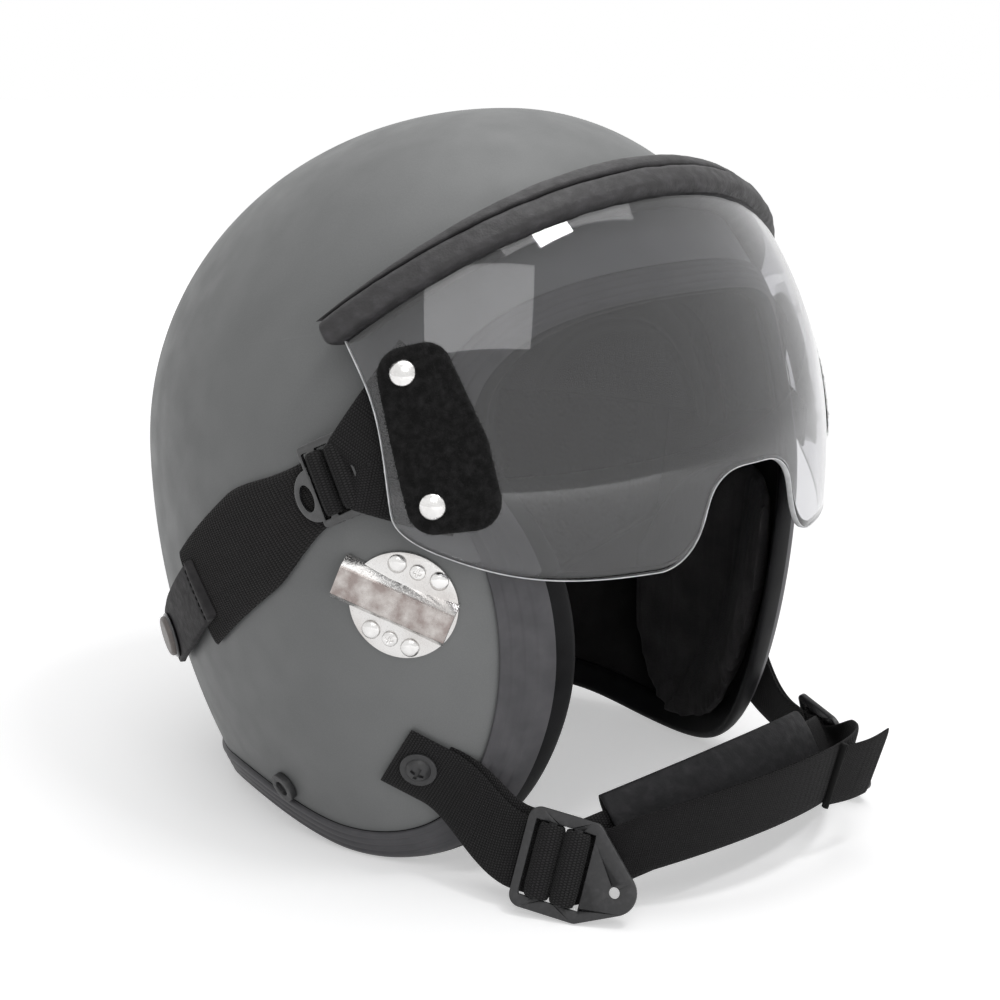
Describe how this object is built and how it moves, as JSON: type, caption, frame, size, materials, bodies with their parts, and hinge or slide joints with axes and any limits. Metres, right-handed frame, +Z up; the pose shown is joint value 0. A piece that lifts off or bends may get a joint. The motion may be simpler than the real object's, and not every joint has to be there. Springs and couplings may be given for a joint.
{
  "type": "flight helmet",
  "caption": "Open-face flight helmet with lift-up visor in a padded edge roll, elastic visor straps, mask bayonet plates and a buckled chin strap with pad.",
  "frame": {"origin": "on the floor below the middle of the helmet's outer box", "axes": "the face looks along -Y, +Z is up, the wearer's right is -X"},
  "size_m": [0.2496, 0.3068, 0.261],
  "materials": {
    "black_steel": "glossy black",
    "cloth_black": "black ribbed cloth",
    "elastic_grey": "ribbed elastic",
    "lens_smoke": "clear smoke sheet",
    "liner_foam": "rigid foam",
    "patch_black": "black felt",
    "plate_steel": "bright plated",
    "rivet_chrome": "polished",
    "roll_black": "black leather cloth",
    "shell_grey": "satin grey coating",
    "snap_brown": "brown-grey lacquer",
    "tab_leather": "black leather",
    "trim_rubber": "matt black rubber",
    "webbing_black": "woven tape"
  },
  "bodies": {
    "helmet": {"outer_shell": "shell_grey", "edge_trim": "trim_rubber", "impact_liner": "liner_foam", "crown_liner": "cloth_black", "neck_roll": "cloth_black", "cheek_pad_right": "cloth_black", "cheek_pad_left": "cloth_black", "bayonet_receiver_right": "plate_steel", "bayonet_receiver_left": "plate_steel", "receiver_rivets_right": "plate_steel", "receiver_rivets_left": "plate_steel", "receiver_screws_right": "plate_steel", "receiver_screws_left": "plate_steel", "chin_screw_right": "black_steel", "chin_screw_left": "black_steel", "chin_washer_right": "black_steel", "chin_washer_left": "black_steel", "chin_nut_right": "plate_steel", "chin_nut_left": "plate_steel", "ring_snap_right": "black_steel", "ring_snap_left": "black_steel", "rear_stud_right": "plate_steel", "rear_stud_left": "plate_steel", "elastic_strap_right": "elastic_grey", "elastic_strap_left": "elastic_grey", "chin_web_right": "webbing_black", "chin_web_left": "webbing_black"},
    "visor": {"visor_lens": "lens_smoke", "visor_roll": "roll_black", "visor_lip": "roll_black", "side_patch_right": "patch_black", "side_patch_left": "patch_black", "patch_rivets_right": "rivet_chrome", "patch_rivets_left": "rivet_chrome", "visor_web_right": "webbing_black", "visor_web_left": "webbing_black"},
    "chin_strap": {"chin_band": "webbing_black", "chin_inner_band": "webbing_black"},
    "chin_pad": {"chin_pad": "tab_leather"},
    "chin_tail": {"chin_tail": "webbing_black"},
    "adjuster_right": {"strap_adjuster_right": "black_steel"},
    "rear_tab_right": {"rear_tab_right": "tab_leather", "snap_cap_right": "snap_brown"},
    "chin_buckle_right": {"chin_buckle_right": "black_steel"},
    "adjuster_left": {"strap_adjuster_left": "black_steel"},
    "rear_tab_left": {"rear_tab_left": "tab_leather", "snap_cap_left": "snap_brown"},
    "chin_buckle_left": {"chin_buckle_left": "black_steel"}
  },
  "joints": [
    {"name": "visor_lift", "type": "hinge", "parent": "helmet", "child": "visor", "pos_m": [0, 0.03545, 0.131], "axis": [-1, 0, 0], "range_deg": [0, 40], "deforming": ["elastic_strap_right", "elastic_strap_left"]},
    {"name": "chin_swing", "type": "hinge", "parent": "helmet", "child": "chin_strap", "pos_m": [0, -0.05151, 0.04315], "axis": [-1, 0, 0], "range_deg": [0, 30], "deforming": ["chin_web_right", "chin_web_left"]},
    {"name": "pad_shift", "type": "hinge", "parent": "chin_strap", "child": "chin_pad", "pos_m": [0, -0.0101, -0.03692], "axis": [0, 0.5, 0.866], "range_deg": [0, 2.5]},
    {"name": "tail_peel", "type": "hinge", "parent": "chin_strap", "child": "chin_tail", "pos_m": [0.015, -0.14623, 0.03404], "axis": [0, 0.2588, -0.9659], "range_deg": [0, 60]},
    {"name": "adjuster_tilt_right", "type": "hinge", "parent": "visor", "child": "adjuster_right", "pos_m": [-0.11588, -0.0456, 0.14904], "axis": [-0.0662, 0.431, 0.8999], "range_deg": [0, 15], "deforming": ["elastic_strap_right"]},
    {"name": "tab_pull_right", "type": "slide", "parent": "helmet", "child": "rear_tab_right", "axis": [-0.8914, 0.4051, -0.2032], "range_m": [0, 0.004], "deforming": ["elastic_strap_right"]},
    {"name": "buckle_tilt_right", "type": "hinge", "parent": "chin_strap", "child": "chin_buckle_right", "pos_m": [-0.07833, -0.10568, 0.01691], "axis": [-0.3691, 0.0007, -0.9294], "range_deg": [0, 4], "deforming": ["chin_web_right"]},
    {"name": "adjuster_tilt_left", "type": "hinge", "parent": "visor", "child": "adjuster_left", "pos_m": [0.11588, -0.0456, 0.14904], "axis": [-0.0662, -0.431, -0.8999], "range_deg": [0, 15], "deforming": ["elastic_strap_left"]},
    {"name": "tab_pull_left", "type": "slide", "parent": "helmet", "child": "rear_tab_left", "axis": [0.8914, 0.4051, -0.2032], "range_m": [0, 0.004], "deforming": ["elastic_strap_left"]},
    {"name": "buckle_tilt_left", "type": "hinge", "parent": "chin_strap", "child": "chin_buckle_left", "pos_m": [0.07833, -0.10568, 0.01691], "axis": [-0.3691, -0.0007, 0.9294], "range_deg": [0, 4], "deforming": ["chin_web_left"]}
  ]
}
